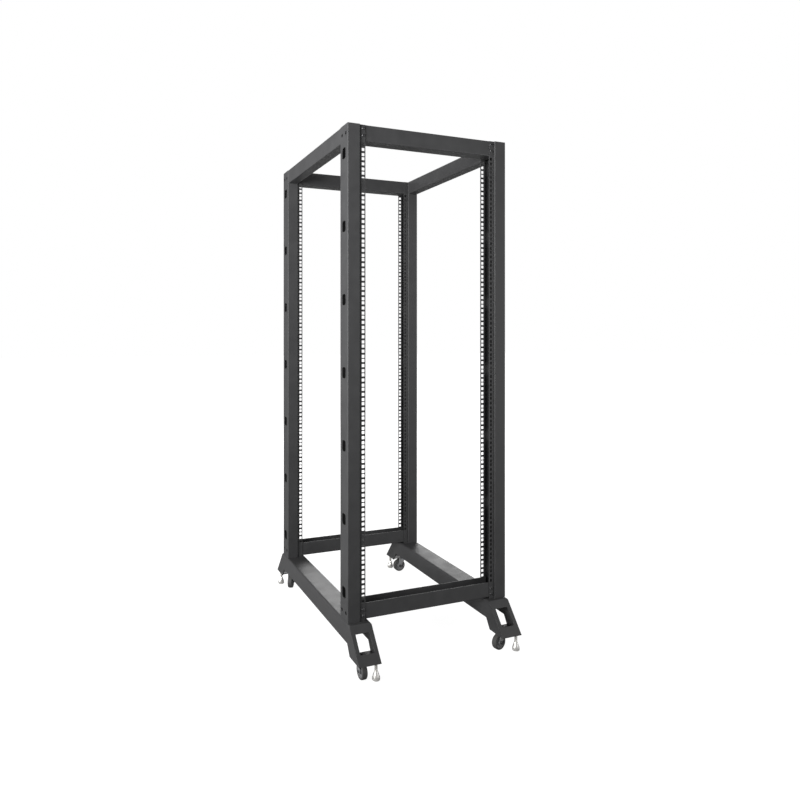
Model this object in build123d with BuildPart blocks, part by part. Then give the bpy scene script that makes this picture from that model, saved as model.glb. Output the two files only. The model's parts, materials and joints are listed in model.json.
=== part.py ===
"""Four post open frame rack: folded sheet posts and beams on two base rails with castors and levelling feet.

Z is up from the floor, X runs across the rack and Y runs from front to back. The origin is on the
floor at the middle of the rack. All sizes are in millimetres.
"""

from build123d import *
import math
import os

# Rack space
rack_unit = 44.45
unit_count = 32
unit_holes = (6.35, 22.225, 38.1)
rail_hole = 9.5
rail_opening = 450.0
rail_hole_inset = 7.55

# Posts
post_sheet = 2.0
post_depth = 64.0
post_face = 42.0
rail_flange = 19.0
post_step = 5.0
post_bend = 3.0
depth_over_posts = 700.0

# Openings in the posts' outer faces
cable_slot_width = 29.0
cable_slot_height = 34.0
cable_slot_corner = 8.0
cable_slot_inset = 87.0
cable_slots = 7
side_hole = 11.0
side_hole_spacing = 32.0
side_hole_inset = 28.0

# Beams
beam_height = 50.0
beam_gap = 4.0
beam_sheet = 2.0
beam_bend = 3.0
beam_side_play = 1.0
side_beam_width = 39.0
side_beam_inset = 2.0

# Base rails and their feet
base_sheet = 3.0
base_width = 73.0
base_top = 150.0
base_edge = 90.0
base_bend = 6.0
foot_lead = 12.0
foot_reach = 90.0
foot_edge = 58.0
foot_heel = 15.0
foot_instep = 20.0
window_width = 46.0
window_length = 60.0
window_inset = 27.0
window_corner = 3.0

# Plate inside each foot that carries the castor and the leveller
mount_plate_thickness = 3.0
mount_plate_height = 62.0
mount_plate_margin = 14.0

# Castors, each swivel axis set in from the rail's outer side and behind the leveller
wheel_diameter = 50.0
wheel_width = 18.0
wheel_corner = 3.0
wheel_play = 1.0
wheel_clearance = 5.0
axle_diameter = 6.0
axle_play = 0.1
fork_sheet = 1.5
fork_boss = 8.0
fork_crown = 19.0
castor_trail = 9.0
castor_side_clearance = 28.5
castor_spacing = 38.0
race_diameter = 30.0
race_play = 0.3
castor_plate_size = 36.0
castor_plate_corner = 4.0

# Levellers, each axis set in from the rail's other side and from the front of the plate in the foot
leveller_side_clearance = 11.5
leveller_plate_clearance = 6.132
screw_diameter = 9.5
screw_play = 0.1
bell_diameter = 24.0
bell_rim = 11.0
bell_height = 28.0
bell_neck = 10.0
leveller_lift = 5.0
screw_reach = 0.5
nut_across_flats = 14.3
nut_height = 4.0

# Sizes that follow from the ones above
rail_hole_spread = rail_opening + 2 * rail_hole_inset
post_flange = post_face + rail_flange
post_spread = rail_opening + 2 * post_flange
clear_height = unit_count * rack_unit
post_height = clear_height + 2 * (beam_height + beam_gap)
first_unit = base_top + beam_gap + beam_height
top_beam_bottom = base_top + post_height - beam_height
hole_heights = [
    first_unit + unit * rack_unit + height for unit in range(unit_count) for height in unit_holes
]
flange_back = post_step + post_sheet
half_depth = depth_over_posts / 2
base_center = post_spread / 2 - base_width / 2
slope_run = foot_reach - foot_lead
slope_drop = base_top - foot_edge
slope_length = math.hypot(slope_run, slope_drop)
mount_plate_top = mount_plate_height + mount_plate_thickness
slope_at_plate_top = foot_reach - (mount_plate_top - foot_edge) * slope_run / slope_drop
mount_plate_front = slope_at_plate_top - base_sheet * slope_length / slope_drop
axle_height = wheel_diameter / 2
fork_gap = wheel_width + 2 * wheel_play
crown_bottom = wheel_diameter + wheel_clearance
crown_top = crown_bottom + fork_sheet
race_bottom = crown_top + race_play
leveller_offset = base_width / 2 - leveller_side_clearance
leveller_setback = mount_plate_front - leveller_plate_clearance
castor_offset = base_width / 2 - castor_side_clearance
castor_setback = leveller_setback - castor_spacing

SIDES = {"left": -1, "right": 1}
ENDS = {"front": -1, "rear": 1}

# How far each castor has swivelled from trailing towards the rear, as the rack was last pushed
SWIVEL = {
    ("left", "front"): 180,
    ("right", "front"): 104,
    ("left", "rear"): 150,
    ("right", "rear"): 90,
}

os.makedirs("parts", exist_ok=True)


def save(piece, name):
    piece.part.label = name
    export_step(piece.part, f"parts/{name}.step")


def foot_plane(side, end, height=0.0):
    """Horizontal plane at the middle of a post's front or rear face, above the foot.

    The y axis points into the rack, and x runs so that the castor is on its negative side.
    """
    origin = (SIDES[side] * base_center, ENDS[end] * half_depth, height)
    return Plane(origin=origin, x_dir=(-ENDS[end], 0, 0), z_dir=(0, 0, 1))


def castor_plane(side, end, height=0.0):
    """Horizontal plane on a castor's swivel axis, with x along its trail."""
    foot = foot_plane(side, end, height)
    origin = foot.from_local_coords(Vector(-castor_offset, -castor_setback, 0))
    trail = Vector(0, 1, 0).rotate(Axis.Z, SWIVEL[side, end])
    return Plane(origin=origin, x_dir=trail, z_dir=(0, 0, 1))


def make_posts():
    """Lipped channels folded from one sheet, with their perforated flanges set back from the faces."""
    outline = [
        (post_flange, post_step),
        (post_face, post_step),
        (post_face, 0),
        (0, 0),
        (0, post_depth),
        (post_face, post_depth),
        (post_face, post_depth - post_step),
        (post_flange, post_depth - post_step),
    ]
    inner_bend = post_bend - post_sheet
    bends = [inner_bend, post_bend, post_bend, post_bend, post_bend, inner_bend]
    outer_corner = Plane((-post_spread / 2, -half_depth, base_top))
    outer_face = Plane(
        origin=(-post_spread / 2, post_depth / 2 - half_depth, base_top),
        x_dir=(0, 1, 0),
        z_dir=(1, 0, 0),
    )
    slot_pitch = (post_height - 2 * cable_slot_inset) / (cable_slots - 1)
    with BuildPart() as post:
        with BuildSketch(outer_corner):
            with BuildLine():
                FilletPolyline(*outline, radius=bends)
                offset(amount=post_sheet, side=Side.RIGHT)
            make_face()
        extrude(amount=post_height)
        with BuildSketch(Plane.XZ.offset(half_depth)):
            with Locations(*[(-rail_hole_spread / 2, height) for height in hole_heights]):
                Rectangle(rail_hole, rail_hole)
        extrude(amount=-post_depth, mode=Mode.SUBTRACT)
        with BuildSketch(outer_face):
            with Locations((0, post_height / 2)):
                with GridLocations(0, slot_pitch, 1, cable_slots):
                    RectangleRounded(cable_slot_width, cable_slot_height, cable_slot_corner)
                with GridLocations(side_hole_spacing, post_height - 2 * side_hole_inset, 2, 2):
                    Circle(side_hole / 2)
        extrude(amount=2 * post_sheet, both=True, mode=Mode.SUBTRACT)
    for side in SIDES:
        for end in ENDS:
            with BuildPart() as placed:
                add(post.part)
                if side == "right":
                    mirror(about=Plane.YZ, mode=Mode.REPLACE)
                if end == "rear":
                    mirror(about=Plane.XZ, mode=Mode.REPLACE)
            save(placed, f"{side}_{end}_post")


def channel_outline(width):
    """Upright U of folded sheet, its open side up, centred over the sketch's origin."""
    corners = [(-width / 2, beam_height), (-width / 2, 0), (width / 2, 0), (width / 2, beam_height)]
    FilletPolyline(*corners, radius=beam_bend)
    offset(amount=beam_sheet, side=Side.LEFT)


def make_cross_beam(name, end, height):
    """Folded channel across the rack, between the front and rear flanges of two posts."""
    length = post_spread - 2 * (post_face - post_sheet) - 2 * beam_side_play
    center = (0, ENDS[end] * (half_depth - post_depth / 2), height)
    with BuildPart() as beam:
        with BuildSketch(Plane(origin=center, x_dir=(0, 1, 0), z_dir=(1, 0, 0))):
            with BuildLine():
                channel_outline(post_depth - 2 * flange_back)
            make_face()
        extrude(amount=length / 2, both=True)
    save(beam, name)


def make_side_beam(side):
    """Channel between the front and rear posts, closed by a folded tab at each end."""
    length = depth_over_posts - 2 * post_depth
    center_x = SIDES[side] * (post_spread / 2 - side_beam_inset - side_beam_width / 2)
    middle = Plane(origin=(center_x, 0, top_beam_bottom), x_dir=(1, 0, 0), z_dir=(0, -1, 0))
    with BuildPart() as beam:
        with BuildSketch(middle):
            with BuildLine():
                channel_outline(side_beam_width)
            make_face()
        extrude(amount=length / 2, both=True)
        inner_width = side_beam_width - 2 * beam_sheet
        tab_center = beam_sheet + (beam_height - beam_sheet) / 2
        for end in ENDS.values():
            with BuildSketch(middle.offset(end * (length - beam_sheet) / 2)):
                with Locations((0, tab_center)):
                    Rectangle(inner_width, beam_height - beam_sheet)
            extrude(amount=beam_sheet / 2, both=True)
    save(beam, f"{side}_top_beam")


def base_outline(shrink=0.0, foot_drop=0.0):
    """Side view of a base rail: flat top, sloped foot plates, and edges that step down at each foot.

    shrink moves the top and the slopes inwards by a sheet's thickness, and foot_drop lowers the edges.
    """
    slope_shift = shrink * slope_length / slope_drop
    top = base_top - shrink
    lead = half_depth + foot_lead - slope_shift + shrink * slope_run / slope_drop
    drop = foot_drop * slope_run / slope_drop
    toe = half_depth + foot_reach - slope_shift + drop
    right = [
        (lead, top),
        (toe, foot_edge - foot_drop),
        (half_depth + foot_heel, foot_edge - foot_drop),
        (half_depth + foot_heel - foot_instep, base_edge - foot_drop),
    ]
    left = [(-y, z) for y, z in reversed(right)]
    Polyline(*right, *left, close=True)


def make_base_rail(side):
    """Folded rail under two posts whose ends slope down to the castors and levellers."""
    center_x = SIDES[side] * base_center
    side_view = Plane(origin=(center_x, 0, 0), x_dir=(0, 1, 0), z_dir=(1, 0, 0))
    with BuildPart() as rail:
        with BuildSketch(side_view):
            with BuildLine():
                base_outline()
            make_face()
        extrude(amount=base_width / 2, both=True)
        folds = rail.edges().filter_by(
            lambda edge: abs(edge.tangent_at(0.5).X) < 0.5
            and (edge @ 0.5).Z > (foot_edge + base_top) / 2
            and abs(edge.tangent_at(0.5).dot(Vector(0, 0, 1))) < 0.9
            and ((edge @ 0.5).Z > base_edge + base_bend)
        )
        fillet(folds, radius=base_bend)
        with BuildSketch(side_view):
            with BuildLine():
                base_outline(shrink=base_sheet, foot_drop=base_sheet)
            make_face()
        extrude(amount=base_width / 2 - base_sheet, both=True, mode=Mode.SUBTRACT)
        for end in ENDS.values():
            middle_of_slope = (
                center_x,
                end * (half_depth + (foot_lead + foot_reach) / 2),
                (base_top + foot_edge) / 2,
            )
            outward = Vector(0, end * slope_drop, slope_run).normalized()
            slope_plane = Plane(origin=middle_of_slope, x_dir=(1, 0, 0), z_dir=outward)
            window_shift = slope_length / 2 - window_inset - window_length / 2
            down = -1 if slope_plane.y_dir.Z > 0 else 1
            with BuildSketch(slope_plane):
                with Locations((0, -down * window_shift)):
                    RectangleRounded(window_width, window_length, window_corner)
            extrude(amount=2 * base_sheet, both=True, mode=Mode.SUBTRACT)
    save(rail, f"{side}_base_rail")


def make_mount_plate(side, end):
    """Plate across the foot, with a hole for the castor's stem and one for the leveller's screw."""
    inner_width = base_width - 2 * base_sheet
    plate_length = mount_plate_front - mount_plate_margin
    with BuildPart() as plate:
        with BuildSketch(foot_plane(side, end, mount_plate_height)):
            with Locations((0, -mount_plate_margin - plate_length / 2)):
                Rectangle(inner_width, plate_length)
            with Locations((leveller_offset, -leveller_setback)):
                Circle(screw_diameter / 2 + screw_play, mode=Mode.SUBTRACT)
        extrude(amount=mount_plate_thickness)
    save(plate, f"{side}_{end}_mount_plate")


def make_castor(side, end):
    """Plate and race fixed to the foot, a fork that swivels under it, an axle and a wheel."""
    place = f"{side}_{end}"
    race_top = mount_plate_height - fork_sheet
    with BuildPart() as head:
        with BuildSketch(foot_plane(side, end, race_top)):
            with Locations((-castor_offset, -castor_setback)):
                RectangleRounded(castor_plate_size, castor_plate_size, castor_plate_corner)
        extrude(amount=fork_sheet)
        with BuildSketch(castor_plane(side, end, race_bottom)):
            Circle(race_diameter / 2)
        extrude(amount=race_top - race_bottom)
    save(head, f"{place}_castor_head")

    fork_width = fork_gap + 2 * fork_sheet
    swivel = castor_plane(side, end)
    side_view = Plane(origin=swivel.origin, x_dir=swivel.x_dir, z_dir=swivel.y_dir * -1)
    upside = 1 if side_view.y_dir.Z > 0 else -1
    with BuildPart() as fork:
        with BuildSketch(side_view):
            with BuildLine():
                Polyline(
                    (-fork_crown / 2, upside * crown_top),
                    (fork_crown / 2, upside * crown_top),
                    (castor_trail + fork_boss, upside * axle_height),
                    (castor_trail - fork_boss, upside * axle_height),
                    close=True,
                )
            make_face()
            with Locations((castor_trail, upside * axle_height)):
                Circle(fork_boss)
        extrude(amount=fork_width / 2, both=True)
        with BuildSketch(castor_plane(side, end, crown_bottom)):
            with Locations((castor_trail, 0)):
                Rectangle(4 * wheel_diameter, fork_gap)
        extrude(amount=-2 * wheel_diameter, mode=Mode.SUBTRACT)
        with BuildSketch(side_view):
            with Locations((castor_trail, upside * axle_height)):
                Circle(axle_diameter / 2)
        extrude(amount=fork_width, both=True, mode=Mode.SUBTRACT)
    save(fork, f"{place}_castor_fork")

    with BuildPart() as axle:
        with BuildSketch(side_view):
            with Locations((castor_trail, upside * axle_height)):
                Circle(axle_diameter / 2)
        extrude(amount=fork_width / 2, both=True)
    save(axle, f"{place}_castor_axle")

    wheel_centre = swivel.from_local_coords(Vector(castor_trail, 0, axle_height))
    section = Plane(origin=wheel_centre, x_dir=swivel.x_dir, z_dir=(0, 0, 1))
    half_width = wheel_width / 2
    with BuildPart() as wheel:
        with BuildSketch(section):
            with BuildLine():
                Polyline(
                    (axle_diameter / 2 + axle_play, 0),
                    (axle_diameter / 2 + axle_play, half_width),
                    (wheel_diameter / 2 - wheel_corner, half_width),
                    (wheel_diameter / 2, half_width - wheel_corner),
                    (wheel_diameter / 2, 0),
                    close=True,
                )
            make_face()
            mirror(about=Plane.XZ)
        revolve(axis=Axis(wheel_centre, swivel.y_dir))
    save(wheel, f"{place}_castor_wheel")


def make_leveller(side, end):
    """Screw with a bell foot, drawn up off the floor, and the nut under the plate that holds it."""
    place = f"{side}_{end}"
    base = foot_plane(side, end)
    center = base.from_local_coords(Vector(leveller_offset, -leveller_setback, 0))
    section = Plane(origin=center, x_dir=base.x_dir, z_dir=base.y_dir * -1)
    screw_top = mount_plate_top + screw_reach
    with BuildPart() as leveller:
        with BuildSketch(section):
            with BuildLine():
                Polyline(
                    (0, leveller_lift),
                    (bell_diameter / 2, leveller_lift),
                    (bell_diameter / 2, leveller_lift + bell_rim),
                    (bell_neck / 2, leveller_lift + bell_height),
                    (screw_diameter / 2, leveller_lift + bell_height),
                    (screw_diameter / 2, screw_top),
                    (0, screw_top),
                    close=True,
                )
            make_face()
        revolve(axis=Axis(center, (0, 0, 1)))
    save(leveller, f"{place}_leveller")

    with BuildPart() as nut:
        with BuildSketch(foot_plane(side, end, mount_plate_height)):
            with Locations((leveller_offset, -leveller_setback)):
                RegularPolygon(nut_across_flats / 2, 6, major_radius=False)
                Circle(screw_diameter / 2 + screw_play, mode=Mode.SUBTRACT)
        extrude(amount=-nut_height)
    save(nut, f"{place}_leveller_nut")


make_posts()

for side in SIDES:
    make_base_rail(side)
    make_side_beam(side)
    for end in ENDS:
        make_mount_plate(side, end)
        make_castor(side, end)
        make_leveller(side, end)

for end in ENDS:
    make_cross_beam(f"{end}_top_beam", end, top_beam_bottom)
    make_cross_beam(f"{end}_bottom_beam", end, base_top + beam_gap)
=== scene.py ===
# Studio picture of a four post open frame rack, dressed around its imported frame.
import json
import math

import bmesh
import bpy
import numpy as np
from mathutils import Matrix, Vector


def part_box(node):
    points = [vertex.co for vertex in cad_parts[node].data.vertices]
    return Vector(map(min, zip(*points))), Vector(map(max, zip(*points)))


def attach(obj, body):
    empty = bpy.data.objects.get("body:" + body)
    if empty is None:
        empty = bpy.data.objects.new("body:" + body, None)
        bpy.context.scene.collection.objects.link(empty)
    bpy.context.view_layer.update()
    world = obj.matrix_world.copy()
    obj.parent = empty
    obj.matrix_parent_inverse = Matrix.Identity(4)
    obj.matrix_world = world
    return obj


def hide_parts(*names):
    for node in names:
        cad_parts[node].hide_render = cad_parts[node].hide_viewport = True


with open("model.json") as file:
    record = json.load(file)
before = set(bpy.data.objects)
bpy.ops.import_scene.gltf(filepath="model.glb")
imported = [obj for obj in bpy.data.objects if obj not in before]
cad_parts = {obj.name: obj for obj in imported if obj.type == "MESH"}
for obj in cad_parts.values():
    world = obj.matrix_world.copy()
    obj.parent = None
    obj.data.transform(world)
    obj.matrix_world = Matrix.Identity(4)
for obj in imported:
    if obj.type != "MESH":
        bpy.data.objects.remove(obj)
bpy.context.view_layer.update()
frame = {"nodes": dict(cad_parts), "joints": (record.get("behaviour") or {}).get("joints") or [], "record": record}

mm = 0.001
joints = {joint["name"]: joint for joint in frame["joints"]}
nodes = frame["nodes"]
places = [f"{side}_{end}" for side in ("left", "right") for end in ("front", "rear")]
print("frame loaded:", len(nodes), "nodes")


# Camera and studio
camera = {
    "position": (-1.0294, -2.2188, 1.0312),
    "yaw": 22.01,           # degrees to the right of straight into the rack
    "lens": 29.71,
    "sensor": 36.0,
    "shiftX": 0.0608,
    "shiftY": -0.081,
}
studio = {
    "floorSize": 60.0,
    "floorColour": (0.34, 0.34, 0.34),
    "floorRoughness": 0.9,
    "floorSheen": 0.1,
    "floorGlow": (0.85, 1.0),       # how white the floor is by itself beside the rack and far from it
    "glowReach": (0.6, 1.5),        # metres from the rack's middle over which the floor turns white
    "fillLevel": 0.30,              # what the pale room adds on every side
    "lamps": [
        # name, position, aim, width, height, spread in degrees, watts
        ("keyLamp", (-2.75, -1.5, 1.55), (0, 0, 3.2), 1.5, 1.6, 138, 176),
        ("lowLamp", (-3.2, 0.6, 0.5), (0, 0, 0.1), 1.5, 0.8, 110, 21),
        ("rightLamp", (2.4, -2.3, 0.95), (0.2, 0, 0.7), 1.8, 1.6, 180, 27),
        ("backLamp", (1.6, 4.2, 2.6), (0, 0, 0.3), 3.4, 2.6, 180, 110),
    ],
}


def aimAt(position, target):
    return (Vector(target) - Vector(position)).to_track_quat("-Z", "Y").to_euler()


def makeCamera():
    data = bpy.data.cameras.new("rackCamera")
    data.lens = camera["lens"]
    data.sensor_width = camera["sensor"]
    data.shift_x = camera["shiftX"]
    data.shift_y = camera["shiftY"]
    data.clip_end = 100.0
    lensObject = bpy.data.objects.new("rackCamera", data)
    lensObject.location = camera["position"]
    lensObject.rotation_euler = (math.radians(90), 0, -math.radians(camera["yaw"]))
    bpy.context.collection.objects.link(lensObject)
    bpy.context.scene.camera = lensObject


def makeLamps():
    for name, position, target, width, height, spread, watts in studio["lamps"]:
        data = bpy.data.lights.new(name, "AREA")
        data.shape = "RECTANGLE"
        data.size = width
        data.size_y = height
        data.spread = math.radians(spread)
        data.energy = watts
        lamp = bpy.data.objects.new(name, data)
        lamp.location = position
        lamp.rotation_euler = aimAt(position, target)
        bpy.context.collection.objects.link(lamp)


def seenDirectly(tree):
    # 1 where a camera or transmitted ray looks, so that the pale room itself is seen as white.
    path = tree.nodes.new("ShaderNodeLightPath")
    either = tree.nodes.new("ShaderNodeMath")
    either.operation = "MAXIMUM"
    tree.links.new(path.outputs["Is Camera Ray"], either.inputs[0])
    tree.links.new(path.outputs["Is Transmission Ray"], either.inputs[1])
    return either.outputs[0]


def makeRoom():
    world = bpy.data.worlds.new("paleRoom")
    bpy.context.scene.world = world
    world.use_nodes = True
    tree = world.node_tree
    tree.nodes.clear()
    fill = tree.nodes.new("ShaderNodeBackground")
    fill.inputs["Strength"].default_value = studio["fillLevel"]
    white = tree.nodes.new("ShaderNodeBackground")
    white.inputs["Strength"].default_value = 1.0
    for shader in (fill, white):
        shader.inputs["Color"].default_value = (1, 1, 1, 1)
    mix = tree.nodes.new("ShaderNodeMixShader")
    output = tree.nodes.new("ShaderNodeOutputWorld")
    tree.links.new(seenDirectly(tree), mix.inputs[0])
    tree.links.new(fill.outputs[0], mix.inputs[1])
    tree.links.new(white.outputs[0], mix.inputs[2])
    tree.links.new(mix.outputs[0], output.inputs[0])

    half = studio["floorSize"] / 2
    mesh = bpy.data.meshes.new("studioFloor")
    corners = [(-half, -half, 0), (half, -half, 0), (half, half, 0), (-half, half, 0)]
    mesh.from_pydata(corners, [], [(0, 1, 2, 3)])
    floor = bpy.data.objects.new("studioFloor", mesh)
    bpy.context.collection.objects.link(floor)
    paper = bpy.data.materials.new("whitePaper")
    paper.use_nodes = True
    tree = paper.node_tree
    shader = tree.nodes["Principled BSDF"]
    shader.inputs["Base Color"].default_value = (*studio["floorColour"], 1)
    shader.inputs["Roughness"].default_value = studio["floorRoughness"]
    shader.inputs["Specular IOR Level"].default_value = studio["floorSheen"]
    # Where it is seen, the paper glows white by itself, less so beside the rack where its shadow falls.
    place = tree.nodes.new("ShaderNodeTexCoord").outputs["Object"]
    reach = tree.nodes.new("ShaderNodeVectorMath")
    reach.operation = "LENGTH"
    tree.links.new(place, reach.inputs[0])
    fade = tree.nodes.new("ShaderNodeMapRange")
    fade.interpolation_type = "SMOOTHSTEP"
    labels = ("From Min", "From Max", "To Min", "To Max")
    for label, value in zip(labels, (*studio["glowReach"], *studio["floorGlow"])):
        fade.inputs[label].default_value = value
    tree.links.new(reach.outputs["Value"], fade.inputs["Value"])
    seen = tree.nodes.new("ShaderNodeMath")
    seen.operation = "MULTIPLY"
    tree.links.new(fade.outputs["Result"], seen.inputs[0])
    tree.links.new(seenDirectly(tree), seen.inputs[1])
    tree.links.new(seen.outputs[0], shader.inputs["Emission Strength"])
    shader.inputs["Emission Color"].default_value = (1, 1, 1, 1)
    mesh.materials.append(paper)


makeCamera()
makeLamps()
makeRoom()
bpy.context.scene.view_settings.view_transform = "Standard"
print("camera and studio ready")


# Effects that several finishes share
effectSizes = {
    "gritScale": 3.7, "mottleScale": 0.03,      # against the scale of the grain
    "mottleRange": (0.3, 0.7),
    "edgeLean": (0.995, 0.8), "patchScale": 60.0, "patchRange": (0.4, 0.65),
    "dustFacing": (0.45, 0.95), "dustScale": 22.0, "dustRange": (0.25, 0.75),
    "openRange": (0.5, 0.85),
    "samples": 6,
}


def newGroup(name, inputs, outputs):
    group = bpy.data.node_groups.new(name, "ShaderNodeTree")
    for label, kind, value in inputs:
        socket = group.interface.new_socket(name=label, in_out="INPUT", socket_type=kind)
        socket.default_value = value
    for label, kind in outputs:
        group.interface.new_socket(name=label, in_out="OUTPUT", socket_type=kind)
    return group, group.nodes.new("NodeGroupInput"), group.nodes.new("NodeGroupOutput")


def mathNode(tree, operation, first, second=None, clamp=False):
    node = tree.nodes.new("ShaderNodeMath")
    node.operation = operation
    node.use_clamp = clamp
    for slot, value in enumerate((first, second)):
        if value is None:
            continue
        if isinstance(value, (int, float)):
            node.inputs[slot].default_value = value
        else:
            tree.links.new(value, node.inputs[slot])
    return node.outputs[0]


def noiseNode(tree, place, scale, detail=2.0, roughness=0.5):
    node = tree.nodes.new("ShaderNodeTexNoise")
    node.inputs["Detail"].default_value = detail
    node.inputs["Roughness"].default_value = roughness
    tree.links.new(place, node.inputs["Vector"])
    if isinstance(scale, (int, float)):
        node.inputs["Scale"].default_value = scale
    else:
        tree.links.new(scale, node.inputs["Scale"])
    return node.outputs["Fac"]


def rangeNode(tree, value, fromLow, fromHigh, toLow=0.0, toHigh=1.0):
    node = tree.nodes.new("ShaderNodeMapRange")
    limits = {"From Min": fromLow, "From Max": fromHigh, "To Min": toLow, "To Max": toHigh}
    for label, number in limits.items():
        node.inputs[label].default_value = number
    tree.links.new(value, node.inputs["Value"])
    return node.outputs["Result"]


def grainEffect():
    # Orange peel and fine grit: two noises of different size, added as one height, and a slow mottle.
    group, source, result = newGroup(
        "surfaceGrain",
        [("Scale", "NodeSocketFloat", 700.0), ("Grit", "NodeSocketFloat", 0.35)],
        [("Height", "NodeSocketFloat"), ("Mottle", "NodeSocketFloat")],
    )
    place = group.nodes.new("ShaderNodeTexCoord").outputs["Object"]
    peel = noiseNode(group, place, source.outputs["Scale"], 2.0)
    gritScale = mathNode(group, "MULTIPLY", source.outputs["Scale"], effectSizes["gritScale"])
    grit = noiseNode(group, place, gritScale, 1.0)
    height = mathNode(group, "ADD", peel, mathNode(group, "MULTIPLY", grit, source.outputs["Grit"]))
    mottleScale = mathNode(group, "MULTIPLY", source.outputs["Scale"], effectSizes["mottleScale"])
    mottle = noiseNode(group, place, mottleScale, 3.0)
    group.links.new(height, result.inputs["Height"])
    group.links.new(rangeNode(group, mottle, *effectSizes["mottleRange"]), result.inputs["Mottle"])
    return group


def edgeEffect():
    # How far a rounded normal leans away from the true one: high only along folded and cut edges.
    group, source, result = newGroup(
        "edgeWearAndHighlight",
        [("Radius", "NodeSocketFloat", 0.8 * mm), ("Patchiness", "NodeSocketFloat", 0.5)],
        [("Edge", "NodeSocketFloat"), ("Normal", "NodeSocketVector")],
    )
    bevel = group.nodes.new("ShaderNodeBevel")
    bevel.samples = effectSizes["samples"]
    group.links.new(source.outputs["Radius"], bevel.inputs["Radius"])
    surface = group.nodes.new("ShaderNodeNewGeometry")
    lean = group.nodes.new("ShaderNodeVectorMath")
    lean.operation = "DOT_PRODUCT"
    group.links.new(bevel.outputs[0], lean.inputs[0])
    group.links.new(surface.outputs["Normal"], lean.inputs[1])
    edge = rangeNode(group, lean.outputs["Value"], *effectSizes["edgeLean"])
    place = group.nodes.new("ShaderNodeTexCoord").outputs["Object"]
    patches = noiseNode(group, place, effectSizes["patchScale"], 4.0, 0.7)
    patches = rangeNode(group, patches, *effectSizes["patchRange"])
    kept = mathNode(group, "SUBTRACT", 1.0, source.outputs["Patchiness"])
    share = mathNode(group, "ADD", kept, mathNode(group, "MULTIPLY", patches, source.outputs["Patchiness"]))
    group.links.new(mathNode(group, "MULTIPLY", edge, share, clamp=True), result.inputs["Edge"])
    group.links.new(bevel.outputs[0], result.inputs["Normal"])
    return group


def dustEffect():
    # Dust that settles where the surface faces up, in soft patches.
    group, source, result = newGroup(
        "settledDust",
        [("Amount", "NodeSocketFloat", 0.3)],
        [("Dust", "NodeSocketFloat")],
    )
    surface = group.nodes.new("ShaderNodeNewGeometry")
    split = group.nodes.new("ShaderNodeSeparateXYZ")
    group.links.new(surface.outputs["Normal"], split.inputs[0])
    facingUp = rangeNode(group, split.outputs["Z"], *effectSizes["dustFacing"])
    place = group.nodes.new("ShaderNodeTexCoord").outputs["Object"]
    cloud = noiseNode(group, place, effectSizes["dustScale"], 5.0, 0.65)
    cloud = rangeNode(group, cloud, *effectSizes["dustRange"])
    patchy = mathNode(group, "MULTIPLY", facingUp, cloud)
    dust = mathNode(group, "MULTIPLY", patchy, source.outputs["Amount"], clamp=True)
    group.links.new(dust, result.inputs["Dust"])
    return group


def recessShadeEffect():
    # How open the space in front of the surface is: 1 outside, down to the given floor deep inside. It is used to
    # paint shade into recesses.
    group, source, result = newGroup(
        "paintedRecessShade",
        [("Distance", "NodeSocketFloat", 40 * mm), ("Floor", "NodeSocketFloat", 1.0)],
        [("Open", "NodeSocketFloat")],
    )
    nearby = group.nodes.new("ShaderNodeAmbientOcclusion")
    nearby.samples = effectSizes["samples"]
    nearby.only_local = True
    group.links.new(source.outputs["Distance"], nearby.inputs["Distance"])
    share = rangeNode(group, nearby.outputs["AO"], *effectSizes["openRange"])
    kept = mathNode(group, "MULTIPLY", share, mathNode(group, "SUBTRACT", 1.0, source.outputs["Floor"]))
    group.links.new(mathNode(group, "ADD", kept, source.outputs["Floor"]), result.inputs["Open"])
    return group


effects = {
    "grain": grainEffect(),
    "edge": edgeEffect(),
    "dust": dustEffect(),
    "recess": recessShadeEffect(),
}


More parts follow.
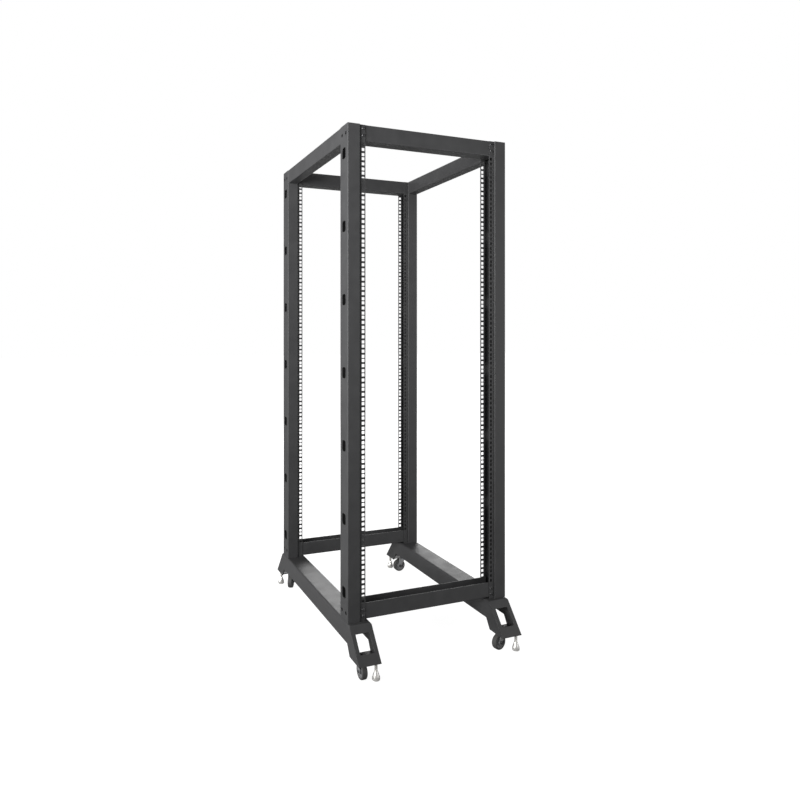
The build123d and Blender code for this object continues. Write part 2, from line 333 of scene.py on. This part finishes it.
# Finishes
finishes = {
    "powderCoat": {
        "colour": (0.030, 0.030, 0.031), "mottled": (0.036, 0.036, 0.037),
        "edgeWearAndHighlightColour": (0.048, 0.048, 0.049),
        "dustColour": (0.17, 0.165, 0.155), "dust": 0.06, "roughness": (0.42, 0.50), "metallic": 0.0,
        "grainScale": 750.0, "grit": 0.35, "bump": 0.16, "edgeRadius": 0.9, "patchiness": 0.4,
    },
    "castorZinc": {
        "colour": (0.21, 0.213, 0.218), "mottled": (0.27, 0.273, 0.278), "edgeWearAndHighlightColour": (0.42, 0.42, 0.42),
        "dustColour": (0.2, 0.19, 0.17), "dust": 0.15, "roughness": (0.38, 0.50), "metallic": 0.35,
        "grainScale": 1400.0, "grit": 0.6, "bump": 0.12, "edgeRadius": 0.4, "patchiness": 0.5,
    },
    "brightPlate": {
        "colour": (0.66, 0.65, 0.62), "mottled": (0.74, 0.73, 0.71), "edgeWearAndHighlightColour": (0.85, 0.84, 0.82),
        "dustColour": (0.3, 0.28, 0.24), "dust": 0.15, "roughness": (0.24, 0.34), "metallic": 0.6,
        "grainScale": 1800.0, "grit": 0.8, "bump": 0.05, "edgeRadius": 0.3, "patchiness": 0.5,
    },
    "blackScrew": {
        "colour": (0.045, 0.045, 0.047), "mottled": (0.075, 0.075, 0.078), "edgeWearAndHighlightColour": (0.2, 0.2, 0.2),
        "dustColour": (0.2, 0.19, 0.17), "dust": 0.2, "roughness": (0.28, 0.4), "metallic": 0.6,
        "grainScale": 1600.0, "grit": 0.5, "bump": 0.08, "edgeRadius": 0.3, "patchiness": 0.6,
    },
    "tyreRubber": {
        "colour": (0.035, 0.035, 0.036), "mottled": (0.055, 0.054, 0.052), "edgeWearAndHighlightColour": (0.08, 0.08, 0.08),
        "dustColour": (0.22, 0.21, 0.19), "dust": 0.25, "roughness": (0.55, 0.72), "metallic": 0.0,
        "grainScale": 1200.0, "grit": 0.7, "bump": 0.2, "edgeRadius": 0.4, "patchiness": 0.5,
    },
    "hubPlastic": {
        "colour": (0.13, 0.131, 0.135), "mottled": (0.16, 0.16, 0.165), "edgeWearAndHighlightColour": (0.25, 0.25, 0.25),
        "dustColour": (0.22, 0.21, 0.19), "dust": 0.2, "roughness": (0.38, 0.5), "metallic": 0.0,
        "grainScale": 1000.0, "grit": 0.3, "bump": 0.1, "edgeRadius": 0.4, "patchiness": 0.5,
    },
}

# The posts' coat is duller than the rest, and painted shade darkens it deep inside them.
finishes["postCoat"] = dict(
    finishes["powderCoat"], colour=(0.032, 0.032, 0.033), mottled=(0.038, 0.038, 0.039),
    roughness=(0.54, 0.62), specular=0.33, recess=(60.0, 0.15),
)
relief = {"depth": 0.3, "dustRoughness": 0.5}       # millimetres, and what full dust adds to roughness


def blendColour(tree, share, first, second):
    mix = tree.nodes.new("ShaderNodeMix")
    mix.data_type = "RGBA"
    tree.links.new(share, mix.inputs["Factor"])
    for socket, value in ((mix.inputs["A"], first), (mix.inputs["B"], second)):
        if isinstance(value, tuple):
            socket.default_value = (*value, 1)
        else:
            tree.links.new(value, socket)
    return mix.outputs["Result"]


def useEffect(tree, effect, **values):
    node = tree.nodes.new("ShaderNodeGroup")
    node.node_tree = effects[effect]
    for label, value in values.items():
        node.inputs[label].default_value = value
    return node.outputs


def makeFinish(name, look):
    material = bpy.data.materials.new(name)
    material.use_nodes = True
    tree = material.node_tree
    shader = tree.nodes["Principled BSDF"]
    grain = useEffect(tree, "grain", Scale=look["grainScale"], Grit=look["grit"])
    edge = useEffect(tree, "edge", Radius=look["edgeRadius"] * mm, Patchiness=look["patchiness"])
    dust = useEffect(tree, "dust", Amount=look["dust"])["Dust"]
    mottle = grain["Mottle"]
    colour = blendColour(tree, mottle, look["colour"], look["mottled"])
    # Folded and cut edges are made lighter: partly wear, partly a painted highlight.
    colour = blendColour(tree, edge["Edge"], colour, look["edgeWearAndHighlightColour"])
    colour = blendColour(tree, dust, colour, look["dustColour"])
    # Painted shade: the colour is blended towards black where the surface lies deep in a recess.
    if "recess" in look:
        reach, floor = look["recess"]
        opening = useEffect(tree, "recess", Distance=reach * mm, Floor=floor)["Open"]
        colour = blendColour(tree, opening, (0.0, 0.0, 0.0), colour)
    tree.links.new(colour, shader.inputs["Base Color"])
    shader.inputs["Specular IOR Level"].default_value = look.get("specular", 0.5)
    smooth, rough = look["roughness"]
    coatRoughness = rangeNode(tree, mottle, 0.0, 1.0, smooth, rough)
    dustRoughness = mathNode(tree, "MULTIPLY", dust, relief["dustRoughness"])
    roughness = mathNode(tree, "ADD", coatRoughness, dustRoughness, clamp=True)
    tree.links.new(roughness, shader.inputs["Roughness"])
    shader.inputs["Metallic"].default_value = look["metallic"]
    bump = tree.nodes.new("ShaderNodeBump")
    bump.inputs["Strength"].default_value = look["bump"]
    bump.inputs["Distance"].default_value = relief["depth"] * mm
    tree.links.new(grain["Height"], bump.inputs["Height"])
    tree.links.new(edge["Normal"], bump.inputs["Normal"])
    tree.links.new(bump.outputs["Normal"], shader.inputs["Normal"])
    return material


materials = {name: makeFinish(name, look) for name, look in finishes.items()}
slotFinish = {
    "powder_coat": "powderCoat",
    "castor_steel": "castorZinc",
    "plated_steel": "brightPlate",
    "wheel_rubber": "tyreRubber",
}
for part in frame["record"]["subparts"]:
    nodeObject = nodes[part["node"]]
    finish = "postCoat" if part["node"].endswith("_post") else slotFinish[part["material_slot"]]
    for materialSlot in nodeObject.material_slots:
        materialSlot.material = materials[finish]
print("finishes ready:", len(materials))


# Surfaces worked out as grids
shading = {"sharpAngle": 32, "easeAngle": 35, "easeSegments": 2}    # angles in degrees


def gridFaces(rows, columns, closedRows=False, closedColumns=True):
    # Quads between neighbouring points of a grid, wrapped round in each closed direction.
    row = np.arange(rows if closedRows else rows - 1)[:, None]
    column = np.arange(columns if closedColumns else columns - 1)[None, :]
    nextRow, nextColumn = (row + 1) % rows, (column + 1) % columns
    here, beyond = row * columns, nextRow * columns
    corners = (here + column, here + nextColumn, beyond + nextColumn, beyond + column)
    return np.stack(np.broadcast_arrays(*corners), axis=-1).reshape(-1, 4)


def crossAxes(axis):
    # Two unit vectors square to the axis and to each other.
    axis = np.asarray(axis, float) / np.linalg.norm(axis)
    helper = np.array([0.0, 0.0, 1.0]) if abs(axis[2]) < 0.9 else np.array([1.0, 0.0, 0.0])
    across = np.cross(helper, axis)
    across /= np.linalg.norm(across)
    return axis, across, np.cross(axis, across)


def roundAxis(radius, height, centre, axis):
    # Each point is the centre, plus its height along the axis, plus its radius outwards at its turn's angle.
    axis, across, up = crossAxes(axis)
    turn = np.linspace(0, 2 * math.pi, radius.shape[1], endpoint=False)
    outwards = np.cos(turn)[:, None] * across + np.sin(turn)[:, None] * up
    return np.asarray(centre, float) + height[..., None] * axis + radius[..., None] * outwards[None]


def surface(points, closedRows=False, capped=True, closedColumns=True):
    # A grid of points as flat vertices and faces, its open ends closed by one face each.
    rows, columns = points.shape[:2]
    faces = gridFaces(rows, columns, closedRows, closedColumns).tolist()
    if capped and not closedRows:
        faces += [list(range(columns)), list(range((rows - 1) * columns, rows * columns))]
    return points.reshape(-1, 3), faces


def turned(profile, centre, axis, steps=48, closedRows=False):
    # A profile of (radius, height) pairs carried round the axis.
    profile = np.asarray(profile, float)
    radius = np.repeat(profile[:, :1], steps, axis=1)
    height = np.repeat(profile[:, 1:], steps, axis=1)
    return surface(roundAxis(radius, height, centre, axis), closedRows)


def makePiece(name, surfaces, finish, body, bevel=0.0, wall=0.0):
    # Joins surfaces into one mesh in the rack's own frame, faces them outwards, and rides it on a body.
    points, faces, start = [], [], 0
    for surfacePoints, surfaceFaces in surfaces:
        points.append(surfacePoints)
        faces += [[start + index for index in face] for face in surfaceFaces]
        start += len(surfacePoints)
    mesh = bpy.data.meshes.new(name)
    mesh.from_pydata(np.concatenate(points).tolist(), [], faces)
    shell = bmesh.new()
    shell.from_mesh(mesh)
    bmesh.ops.recalc_face_normals(shell, faces=shell.faces)
    shell.to_mesh(mesh)
    shell.free()
    mesh.materials.append(materials[finish])
    mesh.shade_smooth()
    mesh.set_sharp_from_angle(angle=math.radians(shading["sharpAngle"]))
    piece = bpy.data.objects.new(name, mesh)
    bpy.context.collection.objects.link(piece)
    if wall:
        thicken = piece.modifiers.new("sheet", "SOLIDIFY")
        thicken.thickness = wall
        thicken.offset = 0.0
    if bevel:
        ease = piece.modifiers.new("easedEdges", "BEVEL")
        ease.width = bevel
        ease.segments = shading["easeSegments"]
        ease.limit_method = "ANGLE"
        ease.angle_limit = math.radians(shading["easeAngle"])
    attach(piece, body)
    return piece


# Screws and nuts
beamScrews = {
    "column": 232.55,               # from the rack's middle to the row of square holes
    "belowTop": (11.4, 33.0),       # from the top of the post
    "aboveBase": (16.0, 34.6),      # from the foot of the post
    "flangeSetback": 5.0,
    "headRadius": 4.7, "headHeight": 2.6,
    "domeTurn": 1.05,               # how far the dome turns inwards, in radians
    "socket": 2.9, "socketDepth": 1.5,
    "socketLand": 1.15,             # the dome ends at this many socket radii
    "washerRadius": 6.0, "washerInner": 3.7, "washer": 0.9, "washerEase": 0.4,
    "shank": 3.0, "shankEase": 0.5, "shankPastNut": 1.5,
    "nutFlats": 10.0, "nutHeight": 4.5, "sheets": 4.0,
}
nutShape = {
    "levels": (0.0, 0.0, 0.12, 0.5, 0.88, 1.0, 1.0),    # rows of the outline, as shares of the height
    "coneStart": 0.97,              # radius of the cone at either face, as a share of half the flats
    "coneSlope": 1.73,
}


def hexRadius(flats, steps):
    # Distance from the middle of a hexagon to its outline, for each turn.
    turn = np.linspace(0, 2 * math.pi, steps, endpoint=False)
    return flats / 2 / np.cos((turn + math.pi / 6) % (math.pi / 3) - math.pi / 6)


def buttonScrew(centre, axis, sizes, steps=24):
    # Low domed head on a washer: circles shrink over the dome and turn into the hexagon of the socket.
    # Over the dome the radius falls as a cosine while the height grows as a sine.
    dome = np.linspace(0, 1, 7)
    circle = sizes["headRadius"] * np.cos(dome * sizes["domeTurn"])
    level = sizes["washer"] + sizes["headHeight"] * np.sin(dome * math.pi / 2)
    outside = circle > sizes["socket"] * sizes["socketLand"]
    top = sizes["washer"] + sizes["headHeight"]
    hexagon = hexRadius(sizes["socket"] * 2 * math.cos(math.pi / 6), steps)
    circle = np.concatenate([[sizes["headRadius"]], circle[outside]])
    level = np.concatenate([[sizes["washer"] / 2], level[outside], [top, top - sizes["socketDepth"]]])
    radius = np.concatenate([np.repeat(circle[:, None], steps, axis=1), [hexagon, hexagon]])
    height = np.repeat(level[:, None], steps, axis=1)
    head = surface(roundAxis(radius * mm, height * mm, centre, axis))
    outer, inner, thick = sizes["washerRadius"], sizes["washerInner"], sizes["washer"]
    washer = [(outer, 0), (outer, thick * 0.7), (outer - sizes["washerEase"], thick)]
    washer += [(inner, thick), (inner, 0)]
    return [head, turned(np.array(washer) * mm, centre, axis, steps, closedRows=True)]


def hexNut(centre, axis, flats, height, bore, steps=48):
    # Hexagon whose corners are cut back by a cone at both ends, round a straight bore.
    # The outline is the lesser of the hexagon's radius and the cone's, which grows away from either face.
    hexagon = hexRadius(flats, steps)
    lift = np.array(nutShape["levels"]) * height
    outline = [np.full(steps, bore)]
    for level in lift[1:-1]:
        depth = min(level, height - level)
        outline.append(np.minimum(hexagon, flats / 2 * nutShape["coneStart"] + depth * nutShape["coneSlope"]))
    outline.append(np.full(steps, bore))
    rows = np.repeat(lift[:, None], steps, axis=1)
    return surface(roundAxis(np.array(outline) * mm, rows * mm, centre, axis), closedRows=True)


def makeBeamScrews():
    sizes = beamScrews
    shankEnd = sizes["nutHeight"] + sizes["shankPastNut"]
    shank = np.array([
        (sizes["shank"], 0),
        (sizes["shank"], shankEnd - sizes["shankEase"]),
        (sizes["shank"] - sizes["shankEase"], shankEnd),
    ])
    for place in places:
        side = -1 if place.startswith("left") else 1
        end = -1 if place.endswith("front") else 1
        low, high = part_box(f"{place}_post")
        faceY = (low.y if end < 0 else high.y) - end * sizes["flangeSetback"] * mm
        inwards = (0, -end, 0)
        screws, nuts = [], []
        heights = [high.z - drop * mm for drop in sizes["belowTop"]]
        heights += [low.z + rise * mm for rise in sizes["aboveBase"]]
        for z in heights:
            front = (side * sizes["column"] * mm, faceY, z)
            back = (front[0], faceY - end * sizes["sheets"] * mm, z)
            screws += buttonScrew(front, (0, end, 0), sizes)
            nuts.append(hexNut(back, inwards, sizes["nutFlats"], sizes["nutHeight"], sizes["shank"], 24))
            nuts.append(turned(shank * mm, back, inwards, 16))
        makePiece(f"{place}_beam_screws", screws, "blackScrew", "frame")
        makePiece(f"{place}_beam_nuts", nuts, "brightPlate", "frame")


makeBeamScrews()
print("beam screws ready")


# Castors
castor = {
    "sheet": 1.5, "bend": 4.0, "boss": 8.0, "crownHalf": 12.5, "halfGap": 10.0, "edgeEase": 0.25,
    "axleRadius": 3.0, "axleNutFlats": 10.0, "axleNutHeight": 3.0,
    "axleHeadRadius": 5.0, "axleHead": 2.2, "axleHeadEdge": 0.8,
    "axlePast": (1.2, 0.6),         # how far the shank goes into the head and out of the nut
    "rivetRadius": 5.0, "rivetDrop": 2.4,
    "raceRadius": 15.0, "raceRounding": 1.2,
    "grooveDepth": 0.7,
    "grooveAt": (0.45, 0.09),       # middle and width, as shares of the race's height
    "plateBolt": 14.2, "plateBoltFlats": 6.6, "plateBoltHead": 2.4, "plateBoltBore": 0.4,
}
wheel = {
    "radius": 25.0, "halfWidth": 9.0, "shoulder": 3.2, "crown": 0.15,
    "tyreInner": 19.0, "tyreLip": (1.0, 0.8),
    # Profile of the hub as (radius, half width): bore, boss and web, then the rim, counted from tyreInner.
    "hubMiddle": [(3.1, 9.4), (6.9, 9.4), (7.5, 8.8), (8.3, 4.6), (9.3, 4.0)],
    "hubRim": [(-3.4, 4.0), (-2.4, 4.8), (-1.8, 7.8), (-0.9, 8.2), (0.2, 7.8)],
}


def castorAxes(place):
    # Where a castor swivels, its wheel's middle and axle, and which way and how far the wheel trails.
    swivel = np.array(joints[f"{place}_swivel"]["pos_m"], float)
    roll = joints[f"{place}_roll"]
    middle = np.array(roll["pos_m"], float)
    trail = middle - swivel
    trail[2] = 0
    reach = np.linalg.norm(trail)
    return {
        "base": np.array([swivel[0], swivel[1], 0.0]), "middle": middle,
        "axle": np.array(roll["axis"], float), "trail": trail / reach, "reach": reach,
    }


def makeWheel(place):
    axes, size = castorAxes(place), wheel
    middle, axle = axes["middle"], axes["axle"]
    # Tyre: a closed ring whose shoulders are quarter circles and whose tread is very slightly crowned.
    angle = np.linspace(0, math.pi / 2, 7)
    shoulderRadius = size["radius"] - size["crown"] - size["shoulder"] * (1 - np.cos(angle))
    shoulderWidth = size["halfWidth"] - size["shoulder"] + size["shoulder"] * np.sin(angle)
    shoulder = np.stack([shoulderRadius, shoulderWidth], axis=1)
    lipDepth, lipWidth = size["tyreLip"]
    lip = [
        (size["tyreInner"] + lipDepth, size["halfWidth"]),
        (size["tyreInner"], size["halfWidth"] - lipWidth),
    ]
    half = np.concatenate([[(size["radius"], 0.0)], shoulder, lip])
    profile = np.concatenate([half, half[:0:-1] * (1, -1)])
    tyre = turned(profile * mm, middle, axle, 72, closedRows=True)
    tyrePiece = makePiece(f"{place}_tyre", [tyre], "tyreRubber", f"{place}_wheel")
    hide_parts(f"{place}_castor_wheel")
    # Hub: boss, dished web and rim lip, the same on both sides.
    rim = [(size["tyreInner"] + step, halfWidth) for step, halfWidth in size["hubRim"]]
    half = np.array(size["hubMiddle"] + rim)
    profile = np.concatenate([half, half[::-1] * (1, -1)])
    hub = turned(profile * mm, middle, axle, 64, closedRows=True)
    makePiece(f"{place}_wheel_hub", [hub], "hubPlastic", f"{place}_wheel")


def mirrored(values, sign=1):
    # One half of the fork's strip, followed by the same half in reverse order.
    return np.concatenate([values, sign * values[-2::-1]])


def makeFork(place):
    axes, size = castorAxes(place), castor
    base, middle, axle = axes["base"], axes["middle"], axes["axle"]
    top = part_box(f"{place}_castor_fork")[1].z / mm
    axleHeight, bend = middle[2] / mm, size["bend"]
    crown = top - size["sheet"] / 2
    half = size["halfGap"] + size["sheet"] / 2
    # Half of the U: up the leg, round the bend, and in to the middle of the crown.
    leg = np.linspace(axleHeight - size["boss"], crown - bend, 26)
    turn = np.linspace(0, math.pi / 2, 8)[1:]
    flat = np.linspace(half - bend, 0, 5)[1:]
    across = np.concatenate([np.full(len(leg), half), half - bend + bend * np.cos(turn), flat])
    height = np.concatenate([leg, crown - bend + bend * np.sin(turn), np.full(len(flat), crown)])
    # The strip's middle leans from the axle to the swivel, and its half width grows from boss to crown, both
    # as three rises squared less two rises cubed. Below the axle the strip ends in a half circle.
    rise = np.clip((height - axleHeight) / (crown - bend - axleHeight), 0, 1)
    ease = rise * rise * (3 - 2 * rise)
    along = axes["reach"] / mm * (1 - ease)
    halfWidth = size["boss"] + (size["crownHalf"] - size["boss"]) * ease
    below = np.clip((axleHeight - height) / size["boss"], 0, 1)
    halfWidth = halfWidth * np.sqrt(np.clip(1 - below ** 2, 0.002, 1))
    across, height = mirrored(across, -1), mirrored(height)
    along, halfWidth = mirrored(along), mirrored(halfWidth)
    share = np.linspace(-1, 1, 9)
    forward = (along[:, None] + halfWidth[:, None] * share[None]) * mm
    sideways = (across[:, None, None] * mm) * axle
    upwards = (height[:, None, None] * mm) * np.array([0, 0, 1.0])
    points = base + forward[..., None] * axes["trail"] + sideways + upwards
    strip = surface(points, capped=False, closedColumns=False)
    forkPiece = makePiece(
        f"{place}_fork", [strip], "castorZinc", f"{place}_castor",
        bevel=size["edgeEase"] * mm, wall=size["sheet"] * mm,
    )
    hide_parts(f"{place}_castor_fork")
    # Rivet that holds the fork to its race, domed below the crown.
    dome = np.linspace(0, math.pi / 2, 7)[:-1]
    profile = np.stack([
        size["rivetRadius"] * np.cos(dome),
        top - size["sheet"] - size["rivetDrop"] * np.sin(dome),
    ], axis=1)
    rivet = turned(profile * mm, base, (0, 0, 1), 32)
    makePiece(f"{place}_swivel_rivet", [rivet], "brightPlate", f"{place}_castor")
    # Axle bolt: shank, domed head on one side and a nut on the other.
    outer = half + size["sheet"] / 2
    intoHead, pastNut = size["axlePast"]
    shank = [
        (size["axleRadius"], -outer - intoHead),
        (size["axleRadius"], outer + size["axleNutHeight"] + pastNut),
    ]
    edge = size["axleHeadEdge"]
    cap = [(size["axleHeadRadius"], 0), (size["axleHeadRadius"], edge)]
    for angle in dome[1:]:
        capHeight = edge + (size["axleHead"] - edge) * math.sin(angle)
        cap.append((size["axleHeadRadius"] * math.cos(angle), capHeight))
    flats, nutHeight, bore = size["axleNutFlats"], size["axleNutHeight"], size["axleRadius"]
    surfaces = [
        turned(np.array(shank) * mm, middle, axle, 24),
        turned(np.array(cap) * mm, middle - axle * outer * mm, -axle, 32),
        hexNut(middle + axle * outer * mm, axle, flats, nutHeight, bore),
    ]
    bolt = makePiece(f"{place}_axle_bolt", surfaces, "blackScrew", f"{place}_castor")
    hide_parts(f"{place}_castor_axle")


def makeHead(place):
    # Two pressed race rings with a groove between them, and the bolts of the top plate.
    # The race's radius is the full one less a bell curve at the groove, and less a sixth power to either end.
    base, size = castorAxes(place)["base"], castor
    low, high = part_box(f"{place}_castor_head")
    bottom, plateUnder = low.z / mm, high.z / mm - size["sheet"]
    rows = np.linspace(0, 1, 15)
    grooveMiddle, grooveWidth = size["grooveAt"]
    groove = size["grooveDepth"] * np.exp(-((rows - grooveMiddle) / grooveWidth) ** 2)
    rounding = size["raceRounding"] * (2 * rows - 1) ** 6
    radius = size["raceRadius"] - groove - rounding
    profile = np.stack([radius, bottom + rows * (plateUnder - bottom)], axis=1)
    race = turned(profile * mm, base, (0, 0, 1), 56)
    makePiece(f"{place}_swivel_race", [race], "castorZinc", "frame")
    bolts = []
    flats, headHeight, bore = size["plateBoltFlats"], size["plateBoltHead"], size["plateBoltBore"]
    for signX in (-1, 1):
        for signY in (-1, 1):
            spot = base + np.array([signX * size["plateBolt"], signY * size["plateBolt"], plateUnder]) * mm
            bolts.append(hexNut(spot, (0, 0, -1), flats, headHeight, bore, 24))
    makePiece(f"{place}_plate_bolts", bolts, "brightPlate", "frame")


for place in places:
    makeWheel(place)
    makeFork(place)
    makeHead(place)
print("castors ready")


# Levelling feet
leveller = {
    "rim": 11.0, "height": 28.0, "neck": 5.0, "lip": 1.1, "rimEase": 0.5,
    "flankPower": 1.1,              # above 1 the flank bulges outwards
    "padSetback": 2.4, "padHeight": 3.2,
    "screwRadius": 4.75, "pitch": 1.5, "thread": 0.45, "screwSink": 0.5,
    "nutFlats": 14.3, "nutPlay": 0.1,
}


def makeLeveller(place):
    size = leveller
    low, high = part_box(f"{place}_leveller")
    centre = np.array([(low.x + high.x) / 2, (low.y + high.y) / 2, 0.0])
    bell = (high.x - low.x) / 2 / mm
    floorGap, top = low.z / mm, high.z / mm
    shoulder, neckHeight = floorGap + size["rim"], floorGap + size["height"]
    # Bell: a quarter ellipse under a straight rim, a small step in, then a flank that draws in to the neck
    # as a power of its height.
    rows = np.linspace(0, 1, 14)
    flankStart = bell - size["lip"]
    flank = flankStart - (flankStart - size["neck"]) * rows ** size["flankPower"]
    angle = np.linspace(0, math.pi / 2, 8)
    profile = list(zip(
        bell - size["padSetback"] * (1 - np.sin(angle)),
        floorGap + size["padHeight"] * (1 - np.cos(angle)),
    ))
    profile += [(bell, shoulder - size["rimEase"]), (bell - size["rimEase"], shoulder)]
    profile += list(zip(flank, shoulder + rows * (neckHeight - shoulder)))
    body = turned(np.array(profile) * mm, centre, (0, 0, 1), 56)
    # Screw: the radius is the mean plus a triangle wave of height over pitch minus the turn, which dies out
    # within one pitch of either end.
    steps = 32
    height = np.arange(neckHeight - size["screwSink"], top, size["pitch"] / 7)
    turn = np.arange(steps) / steps
    phase = (height[:, None] / size["pitch"] - turn[None]) % 1.0
    wave = 1 - 2 * np.abs(2 * phase - 1)
    ends = np.clip(np.minimum(height - height[0], height[-1] - height) / size["pitch"], 0, 1)[:, None]
    radius = size["screwRadius"] - size["thread"] + size["thread"] * wave * ends - (1 - ends) * size["thread"]
    rowsHeight = np.repeat(height[:, None], steps, axis=1)
    screw = surface(roundAxis(radius * mm, rowsHeight * mm, centre, (0, 0, 1)))
    foot = makePiece(
        f"{place}_levelling_screw", [body, screw], "brightPlate", f"{place}_levelling_foot",
    )
    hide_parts(f"{place}_leveller")
    nutLow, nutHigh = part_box(f"{place}_leveller_nut")
    nutBase = np.array([centre[0], centre[1], nutLow.z])
    nutHeight = (nutHigh.z - nutLow.z) / mm
    nut = hexNut(nutBase, (0, 0, 1), size["nutFlats"], nutHeight, size["screwRadius"] + size["nutPlay"])
    nutPiece = makePiece(f"{place}_locking_nut", [nut], "brightPlate", "frame")
    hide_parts(f"{place}_leveller_nut")


for place in places:
    makeLeveller(place)
print("levelling feet ready")
